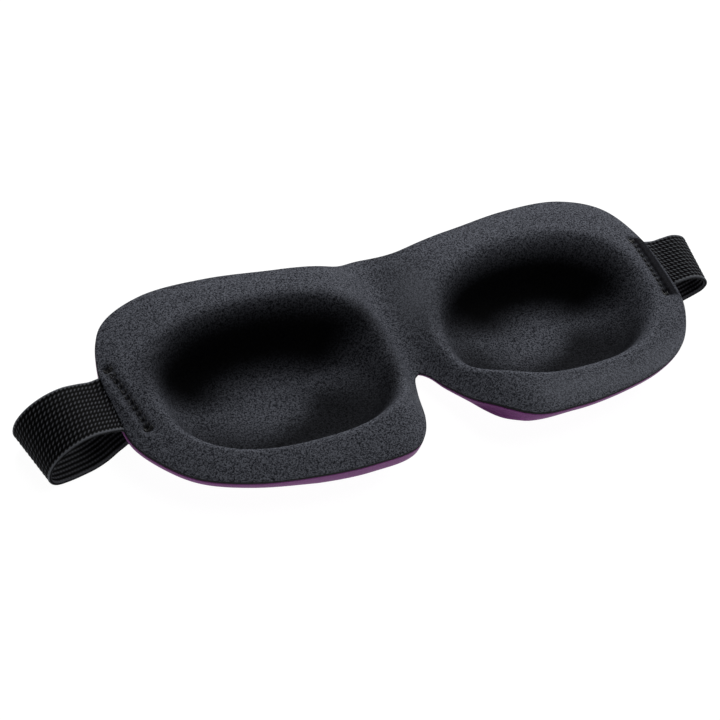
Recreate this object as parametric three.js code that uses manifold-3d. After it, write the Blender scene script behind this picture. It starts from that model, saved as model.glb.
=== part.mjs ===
// Contoured sleep eye mask, lying face side up on its two domes.
// Millimetres. X runs along the mask, +Y towards the forehead edge, +Z up, the floor is z = 0.
// The mask is split in two halves at the nose bridge, where it folds.
import * as THREE from "three";
import { mergeVertices } from "three/addons/utils/BufferGeometryUtils.js";
import Module from "manifold-3d";

const wasm = await Module();
wasm.setup();

// Driving dimensions of the moulded mask.
const HALF_WIDTH = 109; // mask centre to its outer end
const HEIGHT = 89; // forehead edge to cheek edge
const CUP_CENTRE = [52.5, -0.5]; // middle of an eye cup from the mask centre
const CUP_HALF_SIZE = [41.5, 28]; // the hollow, measured at its lip
const CUP_DEPTH = 17; // lip down to the cup floor
const CUP_WALL = 4.6; // laminate under the cup floor
const RIM_THICKNESS = 9.2; // laminate at the middle of the flange
const BRIDGE_THICKNESS = 5.2;
const EDGE_THICKNESS = 3.2; // where the rim is pressed flat
const ROUNDING = 10; // how far in from the edge the rim reaches its full thickness
const BRIDGE_DIP = 16.5; // how far the nose bridge lies below the flanges
const FABRIC = 0.7; // lining and outer cover
const GAP = 0.3; // between touching pieces

// Driving dimensions of the straps.
const STRAP_WIDTH = 22;
const STRAP_THICKNESS = 1.2;
const STRAP_Y = 9; // middle of the strap
const STRAP_DRIFT = 0.2; // how far a loop turns towards the cheek, as a slope
const DRIFT_START_X = 107;
const DRIFT_EASE = 4; // distance over which that turn sets in
const STITCH_X = 104.3;
const STITCH_LENGTH = 27;
const STITCH_Y = 8;
const PATCH_THICKNESS = 1.1;
const LIFT = 25.2; // flange level above the floor

const CUP_RINGS = [0.24, 0.44, 0.6, 0.76, 0.9, 1.04]; // in the cup, as cup measures
const FLANGE_RINGS = [0.55, 0.82, 1]; // from the last cup ring out to the edge
const RIM_SAMPLES = 38;
const CUT_SAMPLES = 7;

// Half of the rim, from the middle of the forehead edge round to the top of the nose notch.
const X = HALF_WIDTH / 109;
const Y = HEIGHT / 89;
const HALF_RIM = [
  [0, 46], [14.5, 41.5], [34, 43], [60, 46.5], [85, 46.2], [101.4, 38.6], [108.4, 22], [109, 6],
  [108.3, -7], [103, -17.7], [94, -27.8], [79, -35.6], [60, -40.3], [39.5, -42.3], [22.6, -40.6],
  [12, -27.7], [5.8, -14], [0, -5],
].map(([x, y]) => new THREE.Vector3(x * X, y * Y, 0));

const COLOURS = {
  lining: 0x2b2c30,
  foam: 0x17181a,
  shell: 0x7a2f80,
  strap: 0x141416,
  thread: 0x101012,
  hook: 0x1d1d20,
  loop: 0x222226,
};

function finish(colour, roughness) {
  return new THREE.MeshStandardMaterial({ color: colour, roughness, metalness: 0 });
}

const materials = {
  lining: finish(COLOURS.lining, 0.95),
  foam: finish(COLOURS.foam, 0.9),
  shell: finish(COLOURS.shell, 0.6),
  strap: finish(COLOURS.strap, 0.8),
  thread: finish(COLOURS.thread, 0.6),
  hook: finish(COLOURS.hook, 0.7),
  loop: finish(COLOURS.loop, 0.95),
};

// ---- the moulded surface -------------------------------------------------------------------

function mirror(p) {
  return new THREE.Vector3(-p.x, p.y, 0);
}

const rimCurve = new THREE.CatmullRomCurve3(
  [...HALF_RIM, ...HALF_RIM.slice(1, -1).reverse().map(mirror)],
  true,
  "centripetal",
);
const rimLine = rimCurve.getSpacedPoints(400);

function smooth(t) {
  const c = Math.min(1, Math.max(0, t));
  return c * c * (3 - 2 * c);
}

// Distance in from the pressed edge.
function edgeDistance(x, y) {
  let best = Infinity;
  for (let i = 1; i < rimLine.length; i++) {
    const a = rimLine[i - 1];
    const b = rimLine[i];
    const dx = b.x - a.x;
    const dy = b.y - a.y;
    const along = ((x - a.x) * dx + (y - a.y) * dy) / (dx * dx + dy * dy);
    const t = Math.min(1, Math.max(0, along));
    best = Math.min(best, Math.hypot(x - a.x - t * dx, y - a.y - t * dy));
  }
  return best;
}

// The flange level: arched lengthwise to fit a face, with the nose bridge dipping away from it.
function flangeLevel(x, y) {
  const s = x / 110;
  const t = y / 45;
  const arch = 0.6 * s * s - 10.2 * s ** 4 - 4.5 * t * t + 4 * s * s * t;
  const bridge = (BRIDGE_DIP - 8 * t) * Math.exp(-((x / 13.5) ** 2));
  return arch - bridge;
}

// 0 in the middle of an eye cup, 1 at its lip.
function cupMeasure(x, y) {
  const u = Math.abs((Math.abs(x) - CUP_CENTRE[0]) / CUP_HALF_SIZE[0]);
  const v = Math.abs((y - CUP_CENTRE[1]) / CUP_HALF_SIZE[1]);
  return Math.hypot(u ** 1.2, v ** 1.2) ** (1 / 1.2);
}

function rimRounding(x, y) {
  const inwards = Math.min(1, edgeDistance(x, y) / ROUNDING);
  return Math.sqrt(1 - (1 - inwards) ** 2);
}

// The face side, from the pressed edge over the rounded rim and down into the cup.
function innerZ(x, y) {
  const bowl = smooth((1.06 - cupMeasure(x, y)) / 0.62);
  return LIFT + flangeLevel(x, y) - CUP_DEPTH * bowl;
}

// The domed outer side.
function outerZ(x, y) {
  const middle = RIM_THICKNESS - (RIM_THICKNESS - BRIDGE_THICKNESS) * Math.exp(-((x / 12) ** 2));
  const rim = EDGE_THICKNESS + (middle - EDGE_THICKNESS) * rimRounding(x, y);
  const dome = smooth((1.2 - cupMeasure(x, y)) / 0.72);
  const depth = CUP_DEPTH + CUP_WALL - RIM_THICKNESS;
  return LIFT + flangeLevel(x, y) - rim - depth * dome;
}

// ---- solids --------------------------------------------------------------------------------

function meshFrom(points, faces) {
  const geometry = new THREE.BufferGeometry();
  geometry.setAttribute("position", new THREE.Float32BufferAttribute(points.flat(), 3));
  geometry.setIndex(faces.flat());
  return geometry;
}

// The boundary of the right half: round the rim, then back along the cut at the bridge.
function halfBoundary() {
  const rim = [];
  const half = new THREE.CatmullRomCurve3(
    [mirror(HALF_RIM[1]), ...HALF_RIM, mirror(HALF_RIM[HALF_RIM.length - 2])],
    false,
    "centripetal",
  );
  const all = half.getSpacedPoints(600).filter((p) => p.x >= GAP / 2);
  for (let i = 0; i < RIM_SAMPLES; i++) {
    const p = all[Math.round((i * (all.length - 1)) / (RIM_SAMPLES - 1))];
    rim.push([p.x, p.y]);
  }
  rim[0][0] = GAP / 2;
  rim[RIM_SAMPLES - 1][0] = GAP / 2;
  const top = rim[0][1];
  const apex = rim[RIM_SAMPLES - 1][1];
  for (let i = 1; i < CUT_SAMPLES; i++) {
    rim.push([GAP / 2, apex + ((top - apex) * i) / CUT_SAMPLES]);
  }
  return rim.reverse(); // anticlockwise seen from above
}

const boundary = halfBoundary();

// Rings of points from the middle of the cup out to the boundary of the half.
function gridRings() {
  const [cx, cy] = CUP_CENTRE;
  const reach = boundary.map(([x, y]) => cupMeasure(x, y));
  const cupRings = CUP_RINGS.map((e) =>
    boundary.map(([x, y], i) => [cx + ((x - cx) * e) / reach[i], cy + ((y - cy) * e) / reach[i]]),
  );
  const lip = cupRings[cupRings.length - 1];
  const flangeRings = FLANGE_RINGS.map((t) =>
    boundary.map(([x, y], i) => [lip[i][0] + (x - lip[i][0]) * t, lip[i][1] + (y - lip[i][1]) * t]),
  );
  return [...cupRings, ...flangeRings];
}

// A layer of the laminate on one side (+1 right, -1 left) between two heights.
function layer(side, upper, lower) {
  const points = [];
  const n = boundary.length;
  const ringPoints = gridRings();
  const rings = ringPoints.length;
  for (const height of [upper, lower]) {
    const [cx, cy] = CUP_CENTRE;
    points.push([side * cx, cy, height(cx, cy)]);
    for (const [x, y] of ringPoints.flat()) points.push([side * x, y, height(x, y)]);
  }
  const under = 1 + rings * n;
  const at = (r, i) => 1 + (r - 1) * n + (i % n);
  const faces = [];
  for (let i = 0; i < n; i++) {
    faces.push([0, at(1, i), at(1, i + 1)]);
    faces.push([under, under + at(1, i + 1), under + at(1, i)]);
    for (let r = 1; r < rings; r++) {
      const [a, b, c, d] = [at(r, i), at(r + 1, i), at(r + 1, i + 1), at(r, i + 1)];
      faces.push([a, b, c], [a, c, d]);
      faces.push([under + a, under + c, under + b], [under + a, under + d, under + c]);
    }
    const [e, f] = [at(rings, i), at(rings, i + 1)];
    faces.push([e, under + e, under + f], [e, under + f, f]);
  }
  return meshFrom(points, side > 0 ? faces : faces.map(([a, b, c]) => [a, c, b]));
}

// A solid through matching cross sections, each a loop of the same even number of points that
// goes along one side of the section and back along the other.
function loft(sections) {
  const n = sections[0].length;
  const faces = [];
  const last = n * (sections.length - 1);
  for (let k = 0; k < n / 2 - 1; k++) {
    const [a, b, c, d] = [k, k + 1, n - 2 - k, n - 1 - k];
    faces.push([a, b, c], [a, c, d]);
    faces.push([last + a, last + c, last + b], [last + a, last + d, last + c]);
  }
  for (let i = 1; i < sections.length; i++) {
    const a = n * (i - 1);
    for (let k = 0; k < n; k++) {
      const [p, q] = [a + k, a + ((k + 1) % n)];
      faces.push([p, p + n, q + n], [p, q + n, q]);
    }
  }
  const geometry = meshFrom(sections.flat(), faces);
  if (signedVolume(geometry) < 0) {
    geometry.setIndex(faces.map(([i, j, k]) => [i, k, j]).flat());
  }
  return geometry;
}

// A band through stations {x, y, slope, nx, nz, heightAt}: its middle line, how much it runs
// towards the cheek, its upward normal, and the height of the middle of its thickness across it.
function band(stations, width, thickness) {
  const columns = 6;
  const across = Array.from({ length: columns + 1 }, (_, k) => (k / columns - 0.5) * width);
  const sections = stations.map((s) => {
    const unit = 1 / Math.hypot(1, s.slope);
    const row = (up) =>
      across.map((w) => {
        const shift = (thickness / 2) * up;
        const x = s.x + unit * (s.slope * w + s.nx * shift);
        const y = s.y + unit * (w - s.slope * s.nx * shift);
        return [x, y, s.heightAt(s.y + w) + s.nz * shift];
      });
    return [...row(-1), ...row(1).reverse()];
  });
  return loft(sections);
}

function signedVolume(geometry) {
  const p = geometry.getAttribute("position");
  const index = geometry.index;
  const [a, b, c] = [new THREE.Vector3(), new THREE.Vector3(), new THREE.Vector3()];
  let volume = 0;
  for (let i = 0; i < index.count; i += 3) {
    a.fromBufferAttribute(p, index.getX(i));
    b.fromBufferAttribute(p, index.getX(i + 1));
    c.fromBufferAttribute(p, index.getX(i + 2));
    volume += a.dot(b.cross(c)) / 6;
  }
  return volume;
}

function solid(geometry) {
  const plain = geometry.clone();
  plain.deleteAttribute("normal");
  plain.deleteAttribute("uv");
  const merged = mergeVertices(plain, 1e-4);
  return new wasm.Manifold(
    new wasm.Mesh({
      numProp: 3,
      vertProperties: new Float32Array(merged.attributes.position.array),
      triVerts: new Uint32Array(merged.index.array),
    }),
  );
}

function geometryOf(manifold) {
  const mesh = manifold.getMesh();
  const geometry = new THREE.BufferGeometry();
  geometry.setAttribute("position", new THREE.BufferAttribute(mesh.vertProperties, 3));
  geometry.setIndex(new THREE.BufferAttribute(mesh.triVerts, 1));
  return geometry;
}

// ---- straps --------------------------------------------------------------------------------

// Each strap leaves the mask end, loops over and comes back under it along the floor.
// Points are [x, height above the floor]; over starts at the mask edge and ends at the outermost
// point of the loop, and under goes on from there to where the strap lies flat.
const STRAPS = {
  left: {
    side: -1,
    over: [
      [115.5, 17.2], [121.5, 18.6], [127.5, 18.2], [132.5, 15.9], [135.4, 12.2], [136.1, 9.6],
      [136.1, 8.8],
    ],
    under: [
      [136.1, 8.5], [136.1, 7.7], [135.4, 4.8], [133, 2], [129, 0.8], [124.5, 0.6], [119.8, 0.9],
      [115.3, 2.4], [111, 5.2], [106.5, 7.2], [101, 7.4], [95, 6.2], [88, 3.4], [81, 1.1],
      [74, 0.6],
    ],
  },
  right: {
    side: 1,
    over: [[114.2, 17], [118, 18], [121.9, 17.2], [124, 15.4], [124.6, 14.2], [124.6, 13.8]],
    under: [
      [124.6, 13.5], [124.6, 13.1], [123.8, 11], [121.4, 8.6], [118, 5.9], [113.5, 2.7], [108, 0.9],
      [102, 0.6],
    ],
  },
};
const TAIL_END_X = 9;
const TONGUE_X = [99.5, 108];

// Middle of the thickness of the sewn tongue, just under the lining.
function tongueZ(x, y) {
  return innerZ(x, y) - FABRIC - GAP - STRAP_THICKNESS / 2;
}

function tongueStation(x) {
  return { x, y: STRAP_Y, slope: 0, nx: 0, nz: 1, heightAt: (y) => tongueZ(x, y) };
}

function flatStation(x) {
  return { x, y: STRAP_Y, slope: 0, nx: 0, nz: -1, heightAt: () => STRAP_THICKNESS / 2 };
}

// Stations along a smooth curve through [x, height] points; past DRIFT_START_X it runs aslant.
function stationsOn(points, count) {
  const curve = new THREE.SplineCurve(points.map(([x, z]) => new THREE.Vector2(x, z)));
  const stations = [];
  for (let i = 0; i <= count; i++) {
    const p = curve.getPointAt(i / count);
    const t = curve.getTangentAt(i / count);
    const out = Math.max(0, p.x - DRIFT_START_X);
    const y = STRAP_Y - (STRAP_DRIFT * out * out) / (out + DRIFT_EASE);
    const slope = (STRAP_DRIFT * out * (out + 2 * DRIFT_EASE)) / (out + DRIFT_EASE) ** 2;
    const z = Math.max(p.y, STRAP_THICKNESS / 2);
    stations.push({ x: p.x, y, slope, nx: -t.y, nz: t.x, heightAt: () => z });
  }
  return stations;
}

function mirrored(stations, side) {
  return stations.map((s) => ({ ...s, x: side * s.x, nx: side * s.nx, slope: side * s.slope }));
}

// The sewn tongue between lining and cover, the upper layer and the upper half of the loop.
function strapRoot({ side, over }) {
  const [inX, edgeX] = TONGUE_X;
  const stations = [inX, 101.6, 103.7, 105.8, edgeX].map(tongueStation);
  const start = [edgeX + 3, tongueZ(HALF_WIDTH, STRAP_Y) - 0.4];
  stations.push(...stationsOn([start, ...over], 12));
  return band(mirrored(stations, side), STRAP_WIDTH, STRAP_THICKNESS);
}

// The lower half of the loop and the flat tail on the floor.
function strapTail({ side, under }) {
  const stations = [...stationsOn(under, 18), flatStation(TAIL_END_X)];
  return band(mirrored(stations, side), STRAP_WIDTH, STRAP_THICKNESS);
}

// Room for the sewn tongue between the lining and the outer cover.
function tonguePocket(side) {
  const stations = [TONGUE_X[0] - GAP, 101.6, 103.7, 105.8, 108, 112].map(tongueStation);
  return band(mirrored(stations, side), STRAP_WIDTH + 2 * GAP, STRAP_THICKNESS + 2 * GAP);
}

// A row of thread set into the lining, with a cross bar at each end.
function stitching(side) {
  const rise = 0.25;
  const pieces = [];
  const bar = (x0, y0, x1, y1, width) => {
    const steps = 8;
    const sections = [];
    const length = Math.hypot(x1 - x0, y1 - y0);
    const [ax, ay] = [((y1 - y0) / length) * (width / 2), (-(x1 - x0) / length) * (width / 2)];
    for (let i = 0; i <= steps; i++) {
      const x = x0 + ((x1 - x0) * i) / steps;
      const y = y0 + ((y1 - y0) * i) / steps;
      const corners = [[-1, rise], [1, rise], [1, rise + 0.5], [-1, rise + 0.5]];
      sections.push(corners.map(([k, up]) => [side * (x + k * ax), y + k * ay, innerZ(x, y) + up]));
    }
    pieces.push(solid(loft(sections)));
  };
  const [low, high] = [STITCH_Y - STITCH_LENGTH / 2, STITCH_Y + STITCH_LENGTH / 2];
  bar(STITCH_X - 1.4, low, STITCH_X - 1.4, high, 0.8);
  bar(STITCH_X + 0.6, low, STITCH_X + 0.6, high, 0.8);
  bar(STITCH_X - 1.8, low + 0.6, STITCH_X + 1, low + 0.6, 1.2);
  bar(STITCH_X - 1.8, high - 0.6, STITCH_X + 1, high - 0.6, 1.2);
  return geometryOf(wasm.Manifold.union(pieces));
}

// A flat rounded patch sewn on the upper side of a strap tail.
function patch(side, fromX, toX) {
  const [w, h, r] = [Math.abs(toX - fromX), STRAP_WIDTH - 2, 2];
  const shape = new THREE.Shape();
  shape.moveTo(-w / 2 + r, -h / 2);
  shape.lineTo(w / 2 - r, -h / 2);
  shape.absarc(w / 2 - r, -h / 2 + r, r, -Math.PI / 2, 0);
  shape.lineTo(w / 2, h / 2 - r);
  shape.absarc(w / 2 - r, h / 2 - r, r, 0, Math.PI / 2);
  shape.lineTo(-w / 2 + r, h / 2);
  shape.absarc(-w / 2 + r, h / 2 - r, r, Math.PI / 2, Math.PI);
  shape.lineTo(-w / 2, -h / 2 + r);
  shape.absarc(-w / 2 + r, -h / 2 + r, r, Math.PI, 1.5 * Math.PI);
  const settings = { depth: PATCH_THICKNESS, bevelEnabled: false, curveSegments: 4 };
  const geometry = new THREE.ExtrudeGeometry(shape, settings);
  geometry.translate((side * (fromX + toX)) / 2, STRAP_Y, STRAP_THICKNESS + GAP);
  return geometry;
}

// Thread round the edge of a patch.
function patchStitching(side, fromX, toX) {
  const [w, h] = [Math.abs(toX - fromX) - 3, STRAP_WIDTH - 5];
  const outline = (grow) => {
    const [a, b] = [w / 2 + grow, h / 2 + grow];
    return [[-a, -b], [a, -b], [a, b], [-a, b]].map(([x, y]) => new THREE.Vector2(x, y));
  };
  const shape = new THREE.Shape(outline(0.4));
  shape.holes.push(new THREE.Path(outline(-0.4)));
  const geometry = new THREE.ExtrudeGeometry(shape, { depth: 0.4, bevelEnabled: false });
  const z = STRAP_THICKNESS + PATCH_THICKNESS + 2 * GAP;
  geometry.translate((side * (fromX + toX)) / 2, STRAP_Y, z);
  return geometry;
}

// ---- assembly ------------------------------------------------------------------------------

const mask = new THREE.Group();

function add(name, geometry, material) {
  const mesh = new THREE.Mesh(geometry, material);
  mesh.name = name;
  mask.add(mesh);
}

function addHalf(name, side) {
  const liningUnder = (x, y) => innerZ(x, y) - FABRIC;
  const foamTop = (x, y) => innerZ(x, y) - FABRIC - GAP;
  const foamUnder = (x, y) => outerZ(x, y) + FABRIC + GAP;
  const coverTop = (x, y) => outerZ(x, y) + FABRIC;
  const foam = solid(layer(side, foamTop, foamUnder)).subtract(solid(tonguePocket(side)));
  add(name + "_lining", layer(side, innerZ, liningUnder), materials.lining);
  add(name + "_foam_core", geometryOf(foam), materials.foam);
  add(name + "_outer_cover", layer(side, coverTop, outerZ), materials.shell);
  add(name + "_strap_stitching", stitching(side), materials.thread);
}

function addStrap(name, patchName, patchEnd, patchMaterial) {
  const strap = STRAPS[name];
  const patchStart = TAIL_END_X + 1;
  add(name + "_strap_root", strapRoot(strap), materials.strap);
  add(name + "_strap_tail", strapTail(strap), materials.strap);
  add(patchName, patch(strap.side, patchStart, patchEnd), patchMaterial);
  add(patchName + "_stitching", patchStitching(strap.side, patchStart, patchEnd), materials.thread);
}

addHalf("left", -1);
addHalf("right", 1);
addStrap("left", "hook_patch", 28, materials.hook);
addStrap("right", "loop_patch", 28, materials.loop);

// The origin is on the floor under the middle of the whole part.
const middle = new THREE.Box3().setFromObject(mask).getCenter(new THREE.Vector3());
mask.position.set(-middle.x, -middle.y, 0);

export default mask;
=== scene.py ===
"""Looks of the contoured sleep eye mask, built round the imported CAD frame.

Mask coordinates are millimetres from the middle of the mask: x along it, y towards the forehead,
z up from the flange level. The strap heights are millimetres above the floor.
"""

import math

import bmesh
import bpy
import numpy as np
from mathutils import Matrix, Vector


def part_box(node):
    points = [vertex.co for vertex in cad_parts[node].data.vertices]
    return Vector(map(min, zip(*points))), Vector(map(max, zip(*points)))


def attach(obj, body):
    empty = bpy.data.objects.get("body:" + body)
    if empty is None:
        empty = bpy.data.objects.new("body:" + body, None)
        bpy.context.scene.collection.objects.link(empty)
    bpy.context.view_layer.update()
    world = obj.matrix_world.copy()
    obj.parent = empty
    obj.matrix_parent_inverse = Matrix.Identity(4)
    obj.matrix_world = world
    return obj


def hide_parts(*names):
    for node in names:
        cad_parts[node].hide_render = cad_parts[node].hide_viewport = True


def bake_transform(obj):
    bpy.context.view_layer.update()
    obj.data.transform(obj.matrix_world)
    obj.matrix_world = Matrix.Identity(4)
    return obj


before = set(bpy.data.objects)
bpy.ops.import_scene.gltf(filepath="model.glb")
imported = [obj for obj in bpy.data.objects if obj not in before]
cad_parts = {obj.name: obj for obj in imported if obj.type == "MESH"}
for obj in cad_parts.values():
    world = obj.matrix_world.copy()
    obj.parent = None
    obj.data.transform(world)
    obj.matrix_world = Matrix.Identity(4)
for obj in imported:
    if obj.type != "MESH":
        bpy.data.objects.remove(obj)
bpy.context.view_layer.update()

MM = 0.001
rng = np.random.default_rng(7)


# ---- places taken from the frame -----------------------------------------------------------


def node_box(name):
    low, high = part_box(name)
    return np.array(low) / MM, np.array(high) / MM


lining_low = node_box("left_lining")[0]
lining_high = node_box("right_lining")[1]
MIDDLE_X = (lining_low[0] + lining_high[0]) / 2
MIDDLE_Y = (lining_low[1] + lining_high[1]) / 2
CREST_DROP = 1.471  # the highest part of the flange lies this far below the flange level
FLANGE_Z = lining_high[2] + CREST_DROP

# ---- sizes of the moulded mask, in millimetres ---------------------------------------------

CUP_X, CUP_Y = 52.5, -0.5
CUP_A, CUP_B = 41.5, 28.0
CUP_TILT = 0.04
CUP_SQUARENESS = 1.2  # 1 is a plain ellipse
CUP_DEPTH = 17.0
CUP_WALL = 4.6
RIM_THICKNESS = 9.2
BRIDGE_THICKNESS = 4.4
EDGE_THICKNESS = 2.0
NOTCH_THICKNESS = 1.2
BRIDGE_DIP = 16.5
NOSE_LIFT = 1.9
ARCH_HALF_LENGTH, ARCH_HALF_WIDTH = 110, 45
FABRIC = 0.6
STITCH_Y = 8.0
STITCH_LENGTH = 27.0
STITCH_PITCH = 2.4
STITCH_ROWS = (-0.75, 0.35)  # the two rows, either side of the middle of the stitching
STITCH_FADE = 1.5  # past its ends the pull of the stitching fades over this
BAR_INSET = 0.4  # the bar tacks lie this far in from its ends

# Half of the rim, from the middle of the forehead edge round to the top of the nose notch.
HALF_RIM = np.array([
    [0, 46], [14.5, 41.5], [34, 43], [60, 46.5], [85, 46.2], [101.4, 38.6], [108.4, 22], [109, 6],
    [108.3, -7], [103, -17.7], [94, -27.8], [79, -35.6], [60, -40.3], [39.5, -42.3], [22.6, -40.6],
    [12, -27.7], [6, -14], [2.6, -6.6], [0, -4.6],
])


PER_SPAN = 24


def catmull(points, closed=False, per_span=PER_SPAN):
    """A smooth curve through points (centripetal Catmull-Rom)."""
    p = np.asarray(points, float)
    if closed:
        p = np.vstack([p[-1:], p, p[:2]])
    else:
        p = np.vstack([2 * p[:1] - p[1:2], p, 2 * p[-1:] - p[-2:-1]])
    out = []
    for i in range(1, len(p) - 2):
        q = p[i - 1 : i + 3]
        t = np.r_[0, np.cumsum(np.linalg.norm(np.diff(q, axis=0), axis=1) ** 0.5)]
        u = np.linspace(t[1], t[2], per_span, endpoint=False)[:, None]
        a = [
            (t[k + 1] - u) / (t[k + 1] - t[k]) * q[k] + (u - t[k]) / (t[k + 1] - t[k]) * q[k + 1]
            for k in range(3)
        ]
        b = [
            (t[k + 2] - u) / (t[k + 2] - t[k]) * a[k] + (u - t[k]) / (t[k + 2] - t[k]) * a[k + 1]
            for k in range(2)
        ]
        out.append((t[2] - u) / (t[2] - t[1]) * b[0] + (u - t[1]) / (t[2] - t[1]) * b[1])
    out = np.vstack(out)
    return out if closed else np.vstack([out, p[-2:-1]])


mirrored_rim = HALF_RIM[1:-1][::-1] * [-1, 1]
RIM = catmull(np.vstack([HALF_RIM, mirrored_rim]), closed=True)
RIM_MIDDLE_Y = (RIM[:, 1].min() + RIM[:, 1].max()) / 2


def smooth(t):
    """0 below t = 0, 1 above t = 1, and an S-shaped step between."""
    t = np.clip(t, 0, 1)
    return t * t * (3 - 2 * t)


def bump(t):
    """A bell of height 1 round t = 0."""
    return np.exp(-t * t)


def edge_distance(x, y):
    """Distance in from the rim."""
    p = np.c_[np.ravel(x), np.ravel(y)]
    a, b = RIM, np.roll(RIM, -1, axis=0)
    ab = b - a
    best = np.full(len(p), 1e9)
    for start, along in zip(a, ab):
        t = np.clip(((p - start) @ along) / (along @ along), 0, 1)
        best = np.minimum(best, np.linalg.norm(p - start - t[:, None] * along, axis=1))
    return best.reshape(np.shape(x))


def flange_level(x, y):
    """The flange arches lengthwise to fit a face, rises beside the nose and dips at the bridge."""
    s, t = x / ARCH_HALF_LENGTH, y / ARCH_HALF_WIDTH
    arch = 0.6 * s**2 - 10.2 * s**4 - 4.5 * t**2 + 4 * s**2 * t
    nose_side = NOSE_LIFT * bump((np.abs(x) - 13) / 14) * bump((y + 31) / 17)
    return arch + nose_side - (BRIDGE_DIP - 8 * t) * bump(x / 13.5)


def cup_measure(x, y):
    """0 in the middle of an eye cup, 1 at its lip: a squarish ellipse."""
    u = np.abs((np.abs(x) - CUP_X) / CUP_A)
    v = np.abs((y - CUP_Y - CUP_TILT * (np.abs(x) - CUP_X)) / CUP_B)
    return np.hypot(u**CUP_SQUARENESS, v**CUP_SQUARENESS) ** (1 / CUP_SQUARENESS)


BROW_LEAN = math.radians(85)  # direction of the broad lip, measured from the mask's outer end
CENTRE_BLEND = 0.35  # nearer the middle than this, as a share of the cup, the two sides merge


def brow_side(x, y):
    """1 at the forehead side of a cup, where its lip is broad, 0 at the cheek side."""
    u, v = (np.abs(x) - CUP_X) / CUP_A, (y - CUP_Y) / CUP_B
    radius = np.maximum(np.hypot(u, v), CENTRE_BLEND)
    return smooth(0.5 + 0.75 * (u * math.cos(BROW_LEAN) + v * math.sin(BROW_LEAN)) / radius)


def stitch_window(y):
    """1 along the stitching, 0 past its ends."""
    reach = STITCH_LENGTH / 2 + STITCH_FADE
    along = y - STITCH_Y
    return smooth((reach + along) / STITCH_FADE) * smooth((reach - along) / STITCH_FADE)


def stitch_x(x, y):
    """Distance of the stitching from the mask middle; each side is sewn a little askew."""
    along = y - STITCH_Y
    return np.where(x < 0, 104.0 + 0.12 * along, 101.9 + 0.05 * along)


def stitch_ripple(y):
    """A wave from 0 to 1 along the stitching, one to a stitch, highest near a stitch's middle."""
    return 0.5 + 0.5 * np.cos(2 * math.pi * (y - STITCH_Y) / STITCH_PITCH)


TRENCH_WIDTH = 1.25
BAR_PULL = 0.8
WELT_HEIGHT = 0.4
WELT_PLACE = 3.0  # past the stitching


def stitch_relief(x, y):
    """The trench that the stitching pulls into the lining, and the welt beyond it."""
    beyond = np.abs(x) - stitch_x(x, y)
    trench = bump(beyond / TRENCH_WIDTH) * (0.75 + 0.35 * stitch_ripple(y))
    bar = STITCH_LENGTH / 2 - BAR_INSET
    ends = sum(bump((y - STITCH_Y - end * bar) / 1.4) for end in (-1, 1))
    pulled = BAR_PULL * ends * bump(beyond / 1.8)
    welt = WELT_HEIGHT * bump((beyond - WELT_PLACE) / 1.2)
    return (welt - trench) * stitch_window(y) - pulled


def past_lip(x, y, e):
    """Distance inside the lip of a cup, along the line to its middle."""
    radius = np.hypot(np.abs(x) - CUP_X, y - CUP_Y)
    return np.where(e > 0.05, (1 - e) * radius / np.maximum(e, 0.05), CUP_B)


BOWL_SHARE = 0.78  # of the cup depth that its wall takes; the rounded floor takes the rest
FLOOR_BELLY = 0.22 * CUP_DEPTH + 1.4
EDGE_ROLL = 0.15


def inner_z(x, y, distance):
    """The face side, from the cut edge over the flange and down into the cup."""
    e = cup_measure(x, y)
    brow = brow_side(x, y)
    start = 2.4 + 3.6 * brow  # the lip starts to fall this far outside the cup
    wall = 6.5 + 3.5 * brow
    down = np.maximum(0, past_lip(x, y, e) + start) / wall
    bowl = BOWL_SHARE * (1 - np.exp(-(down**2.2)))
    floor = FLOOR_BELLY * np.maximum(0, 1 - e**2)
    crown = (0.25 + 0.45 * brow) * smooth(distance / 7) * smooth((e - 0.75) / 0.3)
    roll = EDGE_ROLL * (1 - np.sqrt(1 - (1 - np.clip(distance / 0.5, 0, 1)) ** 2))
    z = flange_level(x, y) - CUP_DEPTH * bowl - floor + crown - roll
    return z + stitch_relief(x, y)


ROUNDING_X = [-100, -80, -58, -20, 12, 22, 34, 100]
CHEEK_ROUNDING = [14, 11, 5.5, 5, 4.2, 4.6, 12, 14]
BROW_ROUNDING = 9.0


def rounding(x, y):
    """Width of the rounded border of the outer face: small where the side is full and upright."""
    cheek = np.interp(x, ROUNDING_X, CHEEK_ROUNDING)
    return cheek + (BROW_ROUNDING - cheek) * smooth((y + 15) / 15)


def outer_z(x, y, distance):
    """The domed outer side."""
    middle = RIM_THICKNESS - (RIM_THICKNESS - BRIDGE_THICKNESS) * bump(x / 12)
    notch = bump(x / 8) * smooth((20 - y) / 20)
    edge = EDGE_THICKNESS - (EDGE_THICKNESS - NOTCH_THICKNESS) * notch
    inwards = np.clip(distance / (rounding(x, y) + BROW_ROUNDING * notch), 0, 1)
    rim = edge + (middle - edge) * np.sqrt(1 - (1 - inwards) ** 2)
    dome = smooth((1.22 - cup_measure(x, y)) / 0.68)
    return flange_level(x, y) - rim - (CUP_DEPTH + CUP_WALL - RIM_THICKNESS) * dome


# ---- mesh helpers --------------------------------------------------------------------------

MASK_ORIGIN = np.array([MIDDLE_X, MIDDLE_Y - RIM_MIDDLE_Y, FLANGE_Z])


def to_frame(points):
    """Mask coordinates to frame metres."""
    return (np.asarray(points, float) + MASK_ORIGIN) * MM


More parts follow.
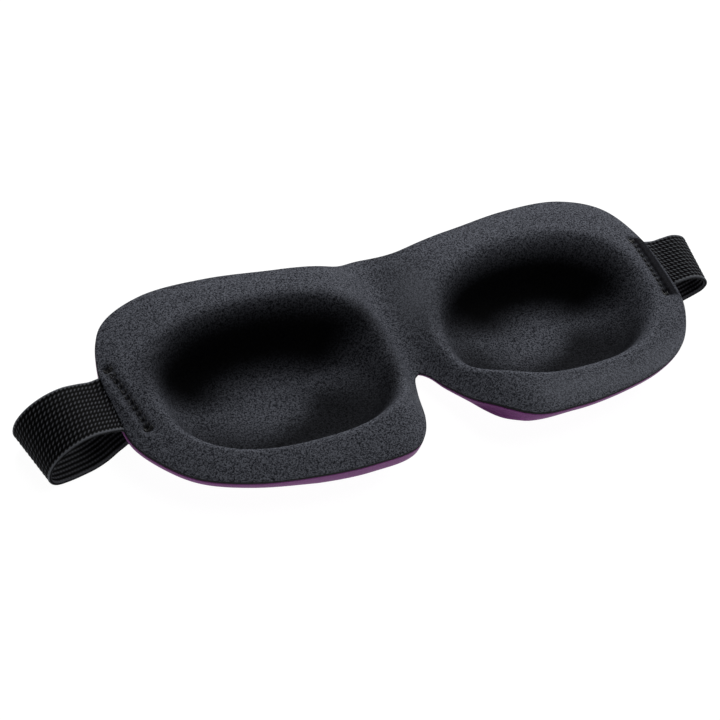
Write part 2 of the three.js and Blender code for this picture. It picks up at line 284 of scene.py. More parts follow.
def new_mesh(name, vertices, faces, material, weld=0.0):
    """A smooth-shaded object from frame metres, its faces turned outwards."""
    mesh = bpy.data.meshes.new(name)
    mesh.from_pydata(np.asarray(vertices).tolist(), [], faces)
    bm = bmesh.new()
    bm.from_mesh(mesh)
    if weld:
        bmesh.ops.remove_doubles(bm, verts=bm.verts, dist=weld)
    bmesh.ops.recalc_face_normals(bm, faces=bm.faces)
    bm.to_mesh(mesh)
    bm.free()
    mesh.polygons.foreach_set("use_smooth", np.ones(len(mesh.polygons), bool))
    mesh.materials.append(material)
    obj = bpy.data.objects.new(name, mesh)
    bpy.context.scene.collection.objects.link(obj)
    return obj


def coordinates(obj):
    """Mask coordinates of a mesh's points."""
    co = np.zeros(len(obj.data.vertices) * 3)
    obj.data.vertices.foreach_get("co", co)
    return co.reshape(-1, 3) / MM - MASK_ORIGIN


def paint(obj, name, values):
    """Store a number per point, for the material to read."""
    layer = obj.data.attributes.new(name, "FLOAT", "POINT")
    layer.data.foreach_set("value", np.asarray(values, np.float32))


def arc_lengths(line):
    """Distance along a polyline of each of its points."""
    return np.r_[0, np.cumsum(np.linalg.norm(np.diff(line, axis=0), axis=1))]


def resample(line, steps):
    """The polyline at given distances along it."""
    d = arc_lengths(line)
    return np.column_stack([np.interp(steps, d, line[:, k]) for k in range(line.shape[1])])


def unit(vectors):
    return vectors / np.linalg.norm(vectors, axis=-1, keepdims=True)


# ---- the laminate --------------------------------------------------------------------------

# Spacing of the points of a layer, in millimetres, and how many rings and cut points it has.
FINE = {"step": 1.25, "at_strap": 0.5, "cut": 32, "cup": 25, "flange": 24}
COARSE = {"step": 2.6, "at_strap": 1.6, "cut": 14, "cup": 12, "flange": 12}
LAST_CUP_RING = 1.04  # as a cup measure
NEAR_STRAP_X = 90.0  # the points are closer together past this, beside the stitching
NEAR_STRAP_Y = STITCH_LENGTH / 2 + 3  # and within this of its middle


def half_boundary(spacing):
    """The right half's rim from the forehead to the notch, then the cut line back up."""
    ends = HALF_RIM[[1, -2]] * [-1, 1]
    line = catmull(np.vstack([ends[:1], HALF_RIM, ends[1:]]))
    line = line[PER_SPAN:-PER_SPAN]
    line[0, 0] = line[-1, 0] = 0
    d = arc_lengths(line)
    near = (line[:, 0] > NEAR_STRAP_X) & (np.abs(line[:, 1] - STITCH_Y) < NEAR_STRAP_Y)
    density = np.where(near, 1 / spacing["at_strap"], 1 / spacing["step"])
    count = np.r_[0, np.cumsum(np.diff(d) * (density[1:] + density[:-1]) / 2)]
    n = int(round(count[-1])) + 1
    at = np.interp(np.linspace(0, count[-1], n), count, d)
    rim = resample(line, at)
    ys = np.linspace(line[-1, 1], line[0, 1], spacing["cut"] + 2)[1:-1]
    return np.vstack([rim, np.c_[np.zeros(len(ys)), ys]]), n


def half_rings(boundary, cup_rings, flange_rings):
    """Rings from the middle of the cup out to its lip, then on to the boundary."""
    centre = np.array([CUP_X, CUP_Y])
    reach = cup_measure(boundary[:, 0], boundary[:, 1])[:, None]
    rings = [centre + (boundary - centre) * e / reach for e in cup_rings]
    lip = rings[-1]
    return np.array(rings + [lip + (boundary - lip) * t for t in flange_rings])


NOSE_SWELL = 2.8
CHEEK_SWELL = 0.6
SWELL_REACH = 7.0  # from the rim inwards


def swell(x, y, distance):
    """How far the foam and cover stand out past the edge of the lining."""
    nose_side = NOSE_SWELL * bump((x - 14) / 8) * bump((y + 33) / 8)
    left_cheek = CHEEK_SWELL * bump((x + 38) / 22) * smooth(-y / 20)
    at_rim = 0.1 + 0.9 * smooth(distance / 0.8)
    return (nose_side + left_cheek) * at_rim * (1 - smooth(distance / SWELL_REACH))


def laminate(name, top, bottom, material, spacing=FINE, swollen=(0, 0)):
    """One layer of the mask, both halves as one closed piece.

    top and bottom are heights; swollen holds how much of the swell each of the two takes.
    """
    boundary, rim_count = half_boundary(spacing)
    cup = np.linspace(0, LAST_CUP_RING, spacing["cup"])[1:]
    flange = 1 - (1 - np.linspace(0, 1, spacing["flange"])[1:]) ** 1.35
    rings = half_rings(boundary, cup, flange)
    flat = np.vstack([[[CUP_X, CUP_Y]], rings.reshape(-1, 2)])
    distance = edge_distance(flat[:, 0], flat[:, 1])
    distance[-len(boundary) :][:rim_count] = 0
    n, count = len(boundary), len(flat)
    outwards = np.vstack([[[0, 0]], np.tile(boundary - rings[len(cup) - 1], (len(rings), 1))])
    outwards /= np.maximum(np.linalg.norm(outwards, axis=1), 1e-9)[:, None]
    last_ring = 1 + (len(rings) - 1) * n
    points, faces, base = [], [], 0
    for side in (1, -1):
        x, y = flat[:, 0] * side, flat[:, 1]
        shift = swell(x, y, distance)[:, None] * outwards * [side, 1]
        for height, moved in zip((top, bottom), swollen):
            points.append(np.c_[np.c_[x, y] + shift * moved, height(x, y, distance)])
            index = base + 1 + np.arange(len(rings) * n).reshape(len(rings), n)
            after = np.roll(index, -1, axis=1)
            fan = np.c_[np.full(n, base), index[0], after[0]]
            quads = np.stack([index[:-1], index[1:], after[1:], after[:-1]], -1).reshape(-1, 4)
            faces += fan.tolist() + quads.tolist()
            base += count
        upper, lower = base - 2 * count + last_ring, base - count + last_ring
        for i in range(rim_count - 1):
            faces.append([upper + i, lower + i, lower + i + 1, upper + i + 1])
    return new_mesh(name, to_frame(np.vstack(points)), faces, material, weld=2e-6)


# ---- materials -----------------------------------------------------------------------------


class Shader:
    """A principled material with short calls for its nodes."""

    def __init__(self, name, **sockets):
        self.material = bpy.data.materials.new(name)
        self.material.use_nodes = True
        self.tree = self.material.node_tree
        self.bsdf = self.tree.nodes["Principled BSDF"]
        for key, value in sockets.items():
            self.bsdf.inputs[key.replace("_", " ")].default_value = value

    def node(self, kind, **settings):
        n = self.tree.nodes.new(kind)
        for key, value in settings.items():
            setattr(n, key, value)
        return n

    def link(self, a, b):
        self.tree.links.new(a, b)

    def position(self):
        return self.node("ShaderNodeTexCoord").outputs["Object"]

    def attribute(self, name):
        return self.node("ShaderNodeAttribute", attribute_name=name).outputs["Fac"]

    def noise(self, size_mm, detail=2.0, stretch=(1, 1, 1), roughness=0.5):
        mapping = self.node("ShaderNodeMapping")
        mapping.inputs["Scale"].default_value = [1 / (size_mm * MM * k) for k in stretch]
        self.link(self.position(), mapping.inputs["Vector"])
        n = self.node("ShaderNodeTexNoise")
        n.inputs["Scale"].default_value = 1.0
        n.inputs["Detail"].default_value = detail
        n.inputs["Roughness"].default_value = roughness
        self.link(mapping.outputs["Vector"], n.inputs["Vector"])
        return n.outputs["Fac"]

    def math(self, operation, a, b=0.0, c=0.0):
        n = self.node("ShaderNodeMath", operation=operation)
        for socket, value in zip(n.inputs, (a, b, c)):
            if isinstance(value, (int, float)):
                socket.default_value = value
            else:
                self.link(value, socket)
        return n.outputs[0]

    def ramp(self, value, *stops):
        n = self.node("ShaderNodeValToRGB")
        ramp = n.color_ramp
        while len(ramp.elements) < len(stops):
            ramp.elements.new(0.5)
        for element, (place, colour) in zip(ramp.elements, stops):
            element.position = place
            element.color = (*colour, 1)
        self.link(value, n.inputs["Fac"])
        return n.outputs["Color"]

    def mix(self, factor, a, b):
        n = self.node("ShaderNodeMix", data_type="RGBA")
        for socket, value in ((n.inputs[0], factor), (n.inputs[6], a), (n.inputs[7], b)):
            if isinstance(value, tuple):
                socket.default_value = (*value, 1)
            else:
                self.link(value, socket)
        return n.outputs[2]

    def colour(self, value):
        self.link(value, self.bsdf.inputs["Base Color"])

    def roughness(self, value):
        self.link(value, self.bsdf.inputs["Roughness"])

    def relief(self, height, depth_mm, strength=1.0):
        n = self.node("ShaderNodeBump")
        n.inputs["Strength"].default_value = strength
        n.inputs["Distance"].default_value = depth_mm * MM
        self.link(height, n.inputs["Height"])
        self.link(n.outputs["Normal"], self.bsdf.inputs["Normal"])


def lining_material():
    m = Shader("brushed_knit", Specular_IOR_Level=0.01)
    nap = m.noise(0.62, 3.0)
    fibre = m.noise(0.36, 2.0)
    cloud = m.noise(14, 2.0)
    speck = m.math("ADD", m.math("MULTIPLY", nap, 0.5), m.math("MULTIPLY", fibre, 0.5))
    base = m.ramp(speck, (0.42, (0.007, 0.0075, 0.0105)), (0.58, (0.116, 0.122, 0.143)))
    cloudy = m.mix(m.math("MULTIPLY", cloud, 0.25), base, (0.035, 0.037, 0.045))
    # painted light: the lining is made paler where the right half stands in more light
    with_painted_light = m.mix(m.attribute("painted_light_right"), cloudy, (0.19, 0.2, 0.23))
    hollow = m.attribute("hollow")
    deep = m.mix(m.math("MULTIPLY", hollow, 0.98), with_painted_light, (0.0008, 0.0008, 0.001))
    # painted black over the rest: shade along the stitching, a dark strip past it, and the
    # lining's back
    m.colour(m.mix(m.attribute("stitch_shade_and_back"), deep, (0.004, 0.004, 0.005)))
    m.roughness(m.math("MULTIPLY_ADD", nap, 0.12, 0.6))
    m.relief(speck, 0.25, 0.9)
    return m.material


def foam_material():
    m = Shader("cut_foam", Specular_IOR_Level=0.25, Roughness=0.85)
    cells = m.noise(0.35, 2.0)
    m.colour(m.ramp(cells, (0.3, (0.003, 0.003, 0.0035)), (0.8, (0.012, 0.012, 0.013))))
    m.relief(cells, 0.12)
    return m.material


def cover_material():
    sheen = {"Sheen_Weight": 0.14, "Sheen_Roughness": 0.4}
    m = Shader("purple_satin_knit", Specular_IOR_Level=0.22, **sheen)
    m.bsdf.inputs["Sheen Tint"].default_value = (0.95, 0.6, 0.95, 1)
    knit = m.noise(0.45, 2.0, stretch=(1, 2.2, 1))
    cloud = m.noise(18, 2.0)
    base = m.ramp(knit, (0.3, (0.105, 0.021, 0.108)), (0.7, (0.175, 0.042, 0.178)))
    m.colour(m.mix(m.math("MULTIPLY", cloud, 0.3), base, (0.115, 0.025, 0.12)))
    m.roughness(m.math("MULTIPLY_ADD", knit, 0.15, 0.5))
    m.relief(knit, 0.1, 0.6)
    return m.material


def strap_material():
    m = Shader("woven_elastic", Specular_IOR_Level=0.03)
    fibre = m.noise(0.2, 2.0)
    worn = m.math("MULTIPLY_ADD", fibre, 0.5, 0.75)
    raised = m.math("MULTIPLY", m.attribute("raise"), worn)
    dark, middle, pale = (0.0005, 0.0005, 0.0006), (0.016, 0.0165, 0.0187), (0.09, 0.094, 0.105)
    m.colour(m.ramp(raised, (0.3, dark), (0.6, middle), (0.95, pale)))
    m.roughness(m.math("MULTIPLY_ADD", fibre, 0.2, 0.55))
    m.relief(fibre, 0.06, 0.6)
    return m.material


def thread_material():
    m = Shader("polyester_thread", Specular_IOR_Level=0.4)
    strands = m.noise(0.15, 1.0)
    m.colour(m.ramp(strands, (0.3, (0.003, 0.003, 0.004)), (0.8, (0.014, 0.014, 0.016))))
    m.roughness(m.math("MULTIPLY_ADD", strands, 0.2, 0.45))
    m.relief(strands, 0.05)
    return m.material


def hook_material():
    m = Shader("hook_tape", Specular_IOR_Level=0.5)
    grain = m.noise(0.6, 2.0)
    m.colour(m.ramp(grain, (0.3, (0.008, 0.008, 0.009)), (0.8, (0.022, 0.022, 0.024))))
    m.roughness(m.math("MULTIPLY_ADD", grain, 0.2, 0.35))
    m.relief(grain, 0.05)
    return m.material


def loop_material():
    m = Shader("loop_tape", Specular_IOR_Level=0.15, Sheen_Weight=0.3)
    fuzz = m.noise(0.5, 4.0, roughness=0.65)
    m.colour(m.ramp(fuzz, (0.3, (0.006, 0.006, 0.007)), (0.75, (0.045, 0.046, 0.05))))
    m.roughness(m.math("MULTIPLY_ADD", fuzz, 0.1, 0.88))
    m.relief(fuzz, 0.5)
    return m.material


lining_look = lining_material()
foam_look = foam_material()
cover_look = cover_material()
strap_look = strap_material()
thread_look = thread_material()
hook_look = hook_material()
loop_look = loop_material()


# ---- camera, light and floor ---------------------------------------------------------------

VIEW_AZIMUTH, VIEW_ELEVATION, VIEW_ROLL = -39.86, 47.16, -17.05
VIEW_DISTANCE = 619.3
VIEW_LENS = 93.9
VIEW_AIM = (-27.8, -5.1, 0.0)
VIEW_NUDGE = (0.22, -0.22)

# Soft boxes: name, azimuth, elevation, distance and size in metres, power in watts.
LIGHTS = [
    ("key_behind", 165, 33, 0.9, 0.35, 6),
    ("low_right", 118, 27, 0.9, 0.3, 3),
    ("overhead", 40, 76, 1.1, 0.5, 3.2),
]
WORLD_STRENGTH = 0.006

FLOOR_SIDES = 64
FLOOR_RADIUS = 6.0
FLOOR_DROP = 0.0003
WALL_HEIGHT = 1.5
FLOOR_GLOW = 0.97


def direction(azimuth, elevation):
    """Unit vector from the mask. Azimuth 0 is in front, on the -Y side."""
    a, e = math.radians(azimuth), math.radians(elevation)
    return Vector((math.sin(a) * math.cos(e), -math.cos(a) * math.cos(e), math.sin(e)))


def place_camera():
    back = direction(VIEW_AZIMUTH, VIEW_ELEVATION)
    data = bpy.data.cameras.new("camera")
    data.lens = VIEW_LENS
    data.clip_start, data.clip_end = 0.01, 20
    camera = bpy.data.objects.new("camera", data)
    bpy.context.scene.collection.objects.link(camera)
    turn = (-back).to_track_quat("-Z", "Y").to_matrix().to_4x4()
    aim = Vector(to_frame([VIEW_AIM])[0])
    roll = Matrix.Rotation(math.radians(-VIEW_ROLL), 4, "Z")
    nudge = Matrix.Translation(Vector((*VIEW_NUDGE, 0)) * MM)
    camera.matrix_world = Matrix.Translation(aim + back * VIEW_DISTANCE * MM) @ turn @ roll @ nudge
    bpy.context.scene.camera = camera


def area_light(name, azimuth, elevation, distance, size, power):
    """A soft box aimed at the mask."""
    back = direction(azimuth, elevation)
    data = bpy.data.lights.new(name, "AREA")
    data.shape = "DISK"
    data.size, data.energy = size, power
    light = bpy.data.objects.new(name, data)
    light.location = back * distance
    light.rotation_mode = "QUATERNION"
    light.rotation_quaternion = (-back).to_track_quat("-Z", "Y")
    bpy.context.scene.collection.objects.link(light)


def light_scene():
    for light in LIGHTS:
        area_light(*light)
    world = bpy.data.worlds.new("studio")
    world.use_nodes = True
    background = world.node_tree.nodes["Background"]
    background.inputs["Color"].default_value = (1, 1, 1, 1)
    background.inputs["Strength"].default_value = WORLD_STRENGTH
    bpy.context.scene.world = world
    bpy.context.scene.view_settings.view_transform = "Standard"


def lay_floor():
    """A pale disc with a low wall round it, which is the backdrop of the level views."""
    m = Shader("pale_floor", Roughness=1.0, Specular_IOR_Level=0.0)
    m.bsdf.inputs["Base Color"].default_value = (0.12, 0.12, 0.12, 1)
    m.bsdf.inputs["Emission Color"].default_value = (1, 1, 1, 1)
    m.bsdf.inputs["Emission Strength"].default_value = FLOOR_GLOW
    around = np.arange(FLOOR_SIDES) * 2 * math.pi / FLOOR_SIDES
    ring = np.c_[np.cos(around), np.sin(around), np.zeros(FLOOR_SIDES)] * FLOOR_RADIUS
    low = np.arange(FLOOR_SIDES)
    after = np.roll(low, -1)
    wall = np.c_[low, after, after + FLOOR_SIDES, low + FLOOR_SIDES]
    faces = [low.tolist()] + wall.tolist()
    floor = new_mesh("floor", np.vstack([ring, ring + [0, 0, WALL_HEIGHT]]), faces, m.material)
    floor.location.z = -FLOOR_DROP


place_camera()
light_scene()
lay_floor()


# ---- lining, foam and cover ----------------------------------------------------------------


def across_bridge(obj, slot, *nodes):
    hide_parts(*nodes)
    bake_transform(obj)


LAYER_GAP = 0.12
# a dark strip is painted on the lining this far past the stitching
DARK_STRIP = (0.8, 6.6)  # past the stitching
CUP_REACH = CUP_B + 2
CHEEK_SHADE = 0.88
NOSE_LIP_SHADE = 0.55


def by_half(x, left, right):
    return np.where(x > 0, right, left)


def painted_stitch_shade_and_back(x, y, z):
    """Painted black: shade in the stitch trench, a dark strip past it, and the lining's back."""
    beyond = np.abs(x) - stitch_x(x, y)
    trench = bump(beyond / 1.3) * (0.55 + 0.45 * stitch_ripple(y))
    begin, end = DARK_STRIP
    strip = smooth((beyond - begin) / 0.8) * smooth((end - beyond) / 0.8) * by_half(x, 0.05, 0.9)
    back = z < inner_z(x, y, edge_distance(x, y)) - FABRIC / 2
    return np.clip((trench + strip) * stitch_window(y) + back, 0, 1)


def hollow(x, y):
    """Shade painted on the walls of the eye cups, given separately for each half.

    It is darkest just inside the lip and fades towards the middle of the cup. On the brow side it
    starts outside the lip.
    """
    inside = (1 - cup_measure(x, y)) * CUP_REACH
    brow = brow_side(x, y)
    across = x - np.sign(x) * CUP_X
    cheek_end = 21 + 15 * smooth((across + 28) / 60)
    cheek = CHEEK_SHADE * smooth((cheek_end - inside) / 15) * (1 - brow)
    wall = smooth((by_half(x, 26, 30) - inside) / 18) * brow ** by_half(x, 3.2, 1.8)
    nose_lip = bump((x + 11) / 7) * bump((y - 12) / 18)
    shade = np.maximum(np.maximum(cheek, wall), NOSE_LIP_SHADE * nose_lip)
    begin = 0.5 - by_half(x, 9 * brow + 5 * nose_lip, 4 * brow)
    return shade * smooth((inside - begin) / (3 + by_half(x, 9, 5) * brow))


def painted_light_right_half(x, y):
    """Painted light, paler on the right half beside the bridge and along the cheek's edge."""
    bridge_side = bump((x - 10) / 6) * bump((y - 20) / 13)
    edge_y = np.maximum(0, np.abs(x) - 70) / 3 - 36
    cheek_edge = bump((y - edge_y) / 5) * smooth((x - 20) / 15) * (cup_measure(x, y) > 1)
    return 0.3 * bridge_side + 0.2 * cheek_edge


def build_laminate():
    lining = laminate("lining", inner_z, lambda x, y, d: inner_z(x, y, d) - FABRIC, lining_look)
    x, y, z = coordinates(lining).T
    # painted shade along the stitching, a dark strip past it, and black on the lining's back
    paint(lining, "stitch_shade_and_back", painted_stitch_shade_and_back(x, y, z))
    paint(lining, "hollow", hollow(x, y))
    # painted light on the right half, beside the bridge and along the cheek edge
    paint(lining, "painted_light_right", painted_light_right_half(x, y))
    foam = laminate(
        "foam_core",
        lambda x, y, d: inner_z(x, y, d) - FABRIC - LAYER_GAP,
        lambda x, y, d: outer_z(x, y, d) + FABRIC + LAYER_GAP,
        foam_look,
        spacing=COARSE,
        swollen=(0, 0.35),
    )
    cover = laminate(
        "outer_cover",
        lambda x, y, d: outer_z(x, y, d) + FABRIC,
        outer_z,
        cover_look,
        swollen=(0.7, 1),
    )
    across_bridge(lining, "lining", "left_lining", "right_lining")
    across_bridge(foam, "foam", "left_foam_core", "right_foam_core")
    across_bridge(cover, "cover", "left_outer_cover", "right_outer_cover")


# ---- straps --------------------------------------------------------------------------------

STRAP_WIDTH = 22.0
STRAP_THICKNESS = 1.2
STRAP_Y = {"left": 9.0, "right": 10.2}
STRAP_DRIFT = 0.2  # slope towards -Y of the run past the mask, once it has eased in
DRIFT_START_X = 107.0
DRIFT_EASE = 4
STRAP_END_X = 9.0
ROOT_LENGTH = 14  # this much of a strap, from its root, is kept under the lining
ROOT_X = [99.5, 102, 104.5, 107.5]
ROOT_GAP = 0.3

# The weave.
ROWS = 13
FLOAT_PITCH = 1.5
RIB_PITCH = 1.1
WEAVE_RELIEF = 0.34
SELVEDGE = 0.5
COLUMNS = ROWS * 5
WEAVE_STEP = 0.25
SEEN_LENGTH = 60.0  # past this the strap is under the mask, and its stations are further apart
# painted light: how pale each strap's weave is painted, the right strap paler for the light on it
STRAP_PAINTED_LIGHT = {"left": 1.0, "right": 1.25}
INSIDE_SHADE = 0.85

# Middle line of each strap past the mask edge, as x and height above the floor: over, round the
# outermost point of the loop and back under the mask.
LOOPS = {
    "left": [
        [115.5, 17.2], [121.5, 18.8], [127.5, 18.4], [133, 15.9], [136.2, 12.2], [137.1, 8.6],
        [136.4, 4.7], [133.8, 1.9], [129.3, 0.8], [124.5, 0.6], [119.8, 0.9], [115.3, 2.4],
        [111, 5.2], [106.5, 7.2], [101, 7.4], [95, 6.2], [88, 3.4], [81, 1.1], [74, 0.6],
    ],
    "right": [
        [114.2, 17], [118, 18.2], [121.9, 17.3], [124.1, 15.2], [124.6, 13.3], [123.8, 11],
        [121.4, 8.6], [118, 5.9], [113.5, 2.7], [108, 0.9], [102, 0.6],
    ],
}


def side_name(side):
    return "left" if side < 0 else "right"


def strap_path(side):
    """Middle line of a strap in mask x, y and height above the flange level, root to tail."""
    middle = STRAP_Y[side_name(side)]
    xs = np.array(ROOT_X)
    under = inner_z(xs, xs * 0 + middle, xs * 0 + 5) - FABRIC - STRAP_THICKNESS / 2 - ROOT_GAP
    tongue = np.c_[xs, under]
    start = [[110.8, under[-1] - 0.4]]
    loop = np.array(LOOPS[side_name(side)]) - [0, FLANGE_Z]
    rest = STRAP_THICKNESS / 2 - FLANGE_Z
    tail = [[60, rest], [STRAP_END_X, rest]]
    line = catmull(np.vstack([tongue, start, loop, tail]), per_span=PER_SPAN // 2)
    line[:, 1] = np.maximum(line[:, 1], rest)
    out = np.maximum(0, line[:, 0] - DRIFT_START_X)
    y = middle - STRAP_DRIFT * out**2 / (out + DRIFT_EASE)
    return np.c_[side * line[:, 0], y, line[:, 1]]


def strap_stations(side):
    """Stations along a strap: distance, middle, and unit vectors across it and outwards."""
    line = strap_path(side)
    total = arc_lengths(line)[-1]
    unseen = int((total - SEEN_LENGTH) / (1.5 * WEAVE_STEP))
    s = np.r_[np.arange(0, SEEN_LENGTH, WEAVE_STEP), np.linspace(SEEN_LENGTH, total, unseen)]
    centre = resample(line, s)
    tangent = unit(np.gradient(centre, s, axis=0))
    out = np.maximum(0, np.abs(centre[:, 0]) - DRIFT_START_X)
    slope = side * STRAP_DRIFT * (out**2 + 2 * DRIFT_EASE * out) / (out + DRIFT_EASE) ** 2
    across = unit(np.c_[slope, np.ones(len(s)), np.zeros(len(s))])
    return s, centre, across, np.cross(tangent, across) * side


def outer_weave(s, w):
    """Relief of the outer face, 0 to 1: rows of slanted floats with gaps between."""
    row = (w / STRAP_WIDTH + 0.5) * ROWS
    index = np.floor(row)
    across = row - index - 0.5
    along = np.cos(2 * math.pi * (s / FLOAT_PITCH + 1.1 * across + 0.37 * index))
    return np.cos(math.pi * across) ** 0.8 * smooth(0.46 + 0.75 * along)


def inner_weave(s, w):
    """Relief of the inner face: plain lengthwise ribs with a fine cross thread."""
    row = (w / STRAP_WIDTH + 0.5) * ROWS
    across = row - np.floor(row) - 0.5
    cross = 0.5 + 0.5 * np.cos(2 * math.pi * s / RIB_PITCH)
    return np.cos(math.pi * across) ** 0.9 * (0.75 + 0.25 * cross)


def lining_limit(points):
    """The greatest height a strap point can have and still lie under the mask.

    It rises past the rim, and a point more than 8 mm past it is free.
    """
    x, y = np.abs(points[..., 0]), points[..., 1]
    right = RIM[(RIM[:, 0] > 60) & (RIM[:, 1] < 40)]
    right = right[np.argsort(right[:, 1])]
    rim_x = np.interp(y, right[:, 1], right[:, 0])
    outside = np.maximum(0, x - rim_x)
    level = inner_z(np.minimum(x, rim_x - 0.3), y, np.full(x.shape, 0.3))
    return level - FABRIC - 0.1 + np.where(outside < 8, 1.1 * outside, 99)


def build_strap(side):
    """A strap as one closed strip, woven on both faces. Returns it with its length."""
    s, centre, across, outward = strap_stations(side)
    w = (np.arange(COLUMNS + 1) / COLUMNS - 0.5) * STRAP_WIDTH
    S, W = np.meshgrid(s, w, indexing="ij")
    edge = STRAP_WIDTH / 2 - np.abs(W)
    profile = np.sqrt(1 - (1 - np.clip(edge / SELVEDGE, 0, 1)) ** 2)
    bound = bump((edge - SELVEDGE) / SELVEDGE)
    outside = outer_weave(S, W) * (1 - bound) + bound
    inside = inner_weave(S, W) * (1 - bound) + bound
    half = STRAP_THICKNESS / 2 - WEAVE_RELIEF
    near_root = (S < ROOT_LENGTH)[..., None]
    sheets = []
    for sign, weave in ((1, outside), (-1, inside)):
        off = sign * profile * (half + WEAVE_RELIEF * weave)
        sheet = centre[:, None] + across[:, None] * W[..., None]
        sheet = sheet + outward[:, None] * off[..., None]
        limit = lining_limit(sheet) - (0.0 if sign > 0 else STRAP_THICKNESS * profile)
        lowered = np.minimum(sheet[..., 2], limit + (0.3 * outside * profile if sign > 0 else 0.0))
        sheet[..., 2:] = np.where(near_root, lowered[..., None], sheet[..., 2:])
        sheets.append(sheet)
    points = np.vstack([sheets[0].reshape(-1, 3), sheets[1].reshape(-1, 3)])
    index = np.arange(S.size).reshape(S.shape)
    quads = np.stack([index[:-1, :-1], index[1:, :-1], index[1:, 1:], index[:-1, 1:]], -1)
    quads = quads.reshape(-1, 4)
    loop = np.r_[index[0], index[1:, -1], index[-1, :-1][::-1], index[1:-1, 0][::-1]]
    after = np.roll(loop, -1)
    border = np.c_[loop, after, after + S.size, loop + S.size]
    faces = np.vstack([quads, quads + S.size, border]).tolist()
    name = side_name(side)
    strap = new_mesh(name + "_strap", to_frame(points), faces, strap_look)
    # the right strap's weave is painted paler, as painted light
    paint(strap, "raise", np.r_[outside.ravel() * STRAP_PAINTED_LIGHT[name], inside.ravel() * INSIDE_SHADE])
    return strap, s[-1]


def add_strap(side):
    name = side_name(side)
    strap, total = build_strap(side)
    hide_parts(name + "_strap_root", name + "_strap_tail")
    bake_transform(strap)


# ---- thread and patches --------------------------------------------------------------------


THREAD_RADIUS = 0.2
BAR_STITCHES = 9
BAR_STEP = 0.32
SLIP = 0.1  # a stitch may end this far to either side of its row


def capsule(a, b, radius=THREAD_RADIUS, sides=6, steps=5, sag=0.0):
    """Points and faces of a round-ended thread from a to b that arches up by sag."""
    a, b = np.asarray(a, float), np.asarray(b, float)
    axis = unit(b - a)
    side = unit(np.cross(axis, [0, 0, 1.0]))
    up = np.cross(side, axis)
    points, faces = [], []
    for k in np.linspace(0, 1, steps):
        middle = a + (b - a) * k + up * sag * math.sin(math.pi * k)
        r = radius * math.sqrt(max(0.08, 1 - (2 * k - 1) ** 4))
        for j in range(sides):
            q = 2 * math.pi * j / sides
            points.append(middle + r * (side * math.cos(q) + up * math.sin(q)))
    for i in range(steps - 1):
        for j in range(sides):
            m = (j + 1) % sides
            faces.append([i * sides + j, i * sides + m, (i + 1) * sides + m, (i + 1) * sides + j])
    faces.append(list(range(sides))[::-1])
    faces.append([(steps - 1) * sides + j for j in range(sides)])
    return np.array(points), faces


def join_parts(parts):
    """Points and faces of many parts as one list each."""
    points, faces, base = [], [], 0
    for p, f in parts:
        points.append(p)
        faces += [[base + i for i in face] for face in f]
        base += len(p)
    return np.vstack(points), faces


def surface_point(x, y, rise=0.0):
    """A point on the face side of the mask."""
    x, y = np.array([x], float), np.array([y], float)
    return np.array([x[0], y[0], inner_z(x, y, edge_distance(x, y))[0] + rise])


def build_stitching(side):
    """The two rows of stitches across a strap's root, with a bar tack at each end."""
    parts = []
    start = STITCH_Y - STITCH_LENGTH / 2
    for row in STITCH_ROWS:
        for k in range(int(STITCH_LENGTH / STITCH_PITCH)):
            y = start + STITCH_PITCH * (k + 0.3)
            x = stitch_x(side, y + STITCH_PITCH / 2) + row
            a = surface_point(side * x, y + 0.4)
            b = surface_point(side * (x + rng.uniform(-SLIP, SLIP)), y + STITCH_PITCH - 0.4)
            parts.append(capsule(a, b, sag=0.1))
    for end in (-1, 1):
        y = STITCH_Y + end * (STITCH_LENGTH / 2 - BAR_INSET)
        for k in range(BAR_STITCHES):
            x = stitch_x(side, y) - 1.5 + BAR_STEP * k
            a = surface_point(side * x, y - 0.8, 0.05)
            b = surface_point(side * (x + 0.2), y + 0.8, 0.05)
            parts.append(capsule(a, b, sag=0.05))
    points, faces = join_parts(parts)
    name = side_name(side)
    thread = new_mesh(name + "_stitching", to_frame(points), faces, thread_look)
    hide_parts(name + "_strap_stitching")
    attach(thread, name + "_half")


def rounded_plate(low, high, z0, z1, corner=2.0, bevel=0.3):
    """A plate with rounded corners and a softened upper edge, in frame millimetres."""
    outline = []
    for cx, cy, start in (
        (high[0] - corner, high[1] - corner, 0),
        (low[0] + corner, high[1] - corner, 90),
        (low[0] + corner, low[1] + corner, 180),
        (high[0] - corner, low[1] + corner, 270),
    ):
        for a in np.radians(np.linspace(start, start + 90, 7)):
            outline.append([cx + corner * math.cos(a), cy + corner * math.sin(a)])
    outline = np.array(outline)
    middle = outline.mean(0)
    rings = [(1.0, z0), (1.0, z1 - bevel)]
    for a in (30, 60, 90):
        inset = bevel * (1 - math.cos(math.radians(a)))
        rings.append((inset, z1 - bevel + bevel * math.sin(math.radians(a))))
    points = []
    size = np.abs(outline - middle).max(0)
    for k, (inset, z) in enumerate(rings):
        shrink = 1.0 if k < 2 else 1 - inset / size
        points.append(np.c_[middle + (outline - middle) * shrink, np.full(len(outline), z)])
    n = len(outline)
    faces = [list(range(n))[::-1], [(len(rings) - 1) * n + i for i in range(n)]]
    for r in range(len(rings) - 1):
        for i in range(n):
            j = (i + 1) % n
            faces.append([r * n + i, r * n + j, (r + 1) * n + j, (r + 1) * n + i])
    return np.vstack(points), faces


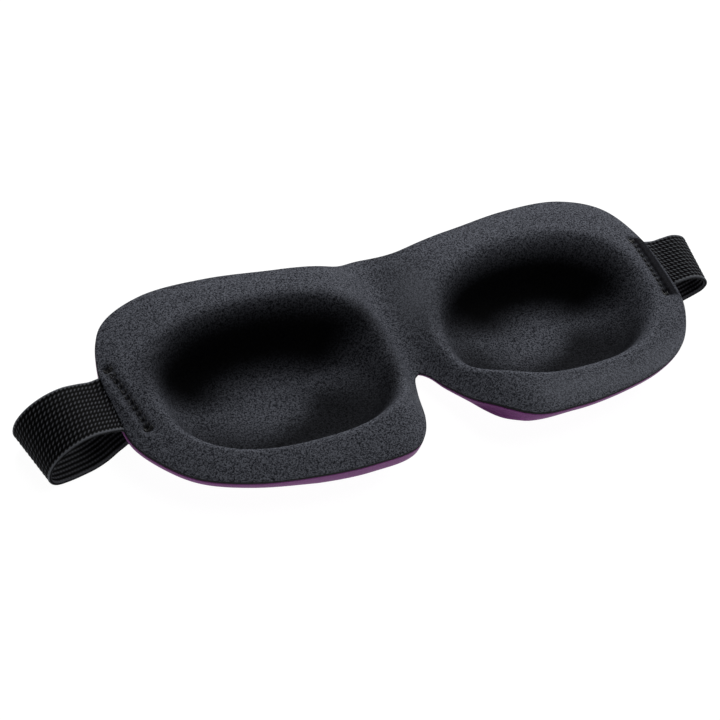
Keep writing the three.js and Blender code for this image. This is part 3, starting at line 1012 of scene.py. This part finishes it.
HOOK_HEIGHT = 0.5  # of the hooks above their tape
HOOK_PITCH = 1.1
HOOK_MARGINS = (2.6, 2.2)
PATCH_SINK = 0.15  # a patch sinks this far into its strap
PATCH_STITCH_INSET = 1.3
PATCH_STITCH_PITCH = 2.0


def hook_parts(low, high):
    """Rows of small stems, each with a tip that bends over."""
    parts = []
    start, stop = HOOK_MARGINS
    z = high[2] - HOOK_HEIGHT - 0.05
    for x in np.arange(low[0] + start, high[0] - stop, HOOK_PITCH):
        for y in np.arange(low[1] + start, high[1] - stop, HOOK_PITCH):
            tip = [x + 0.1, y, z + 0.72], [x + 0.5, y, z + 0.5]
            parts.append(capsule([x, y, z], [x + 0.12, y, z + 0.75], 0.16, sides=5, steps=3))
            parts.append(capsule(*tip, 0.13, sides=5, steps=3))
    return parts


def patch_stitches(low, high, z):
    """A row of stitches round a patch, a little inside its edge."""
    (x0, y0), (x1, y1) = low[:2] + PATCH_STITCH_INSET, high[:2] - PATCH_STITCH_INSET
    corners = np.array([(x0, y0, z), (x1, y0, z), (x1, y1, z), (x0, y1, z)])
    stitches = []
    for a, b in zip(corners, np.roll(corners, -1, axis=0)):
        n = int(round(np.linalg.norm(b - a) / PATCH_STITCH_PITCH))
        for k in range(n):
            u, v = (k + 0.12) / n, (k + 0.88) / n
            stitches.append(capsule(a + (b - a) * u, a + (b - a) * v, sag=0.12))
    return stitches


def build_patch(node, body, material, hooks):
    """A closure patch on a strap tail, as hook tape or loop tape, with its thread."""
    low, high = node_box(node)
    tape_top = high[2] - (HOOK_HEIGHT if hooks else 0)
    parts = [rounded_plate(low, high, low[2] - PATCH_SINK, tape_top)]
    if hooks:
        parts += hook_parts(low, high)
    points, faces = join_parts(parts)
    patch = new_mesh(node + "_tape", points * MM, faces, material)
    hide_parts(node)
    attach(patch, body)
    points, faces = join_parts(patch_stitches(low, high, high[2] + (-0.4 if hooks else 0.05)))
    thread = new_mesh(node + "_thread", points * MM, faces, thread_look)
    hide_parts(node + "_stitching")
    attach(thread, body)


build_laminate()
for side in (-1, 1):
    add_strap(side)
    build_stitching(side)
build_patch("hook_patch", "left_strap", hook_look, hooks=True)
build_patch("loop_patch", "right_strap", loop_look, hooks=False)

bpy.context.view_layer.update()
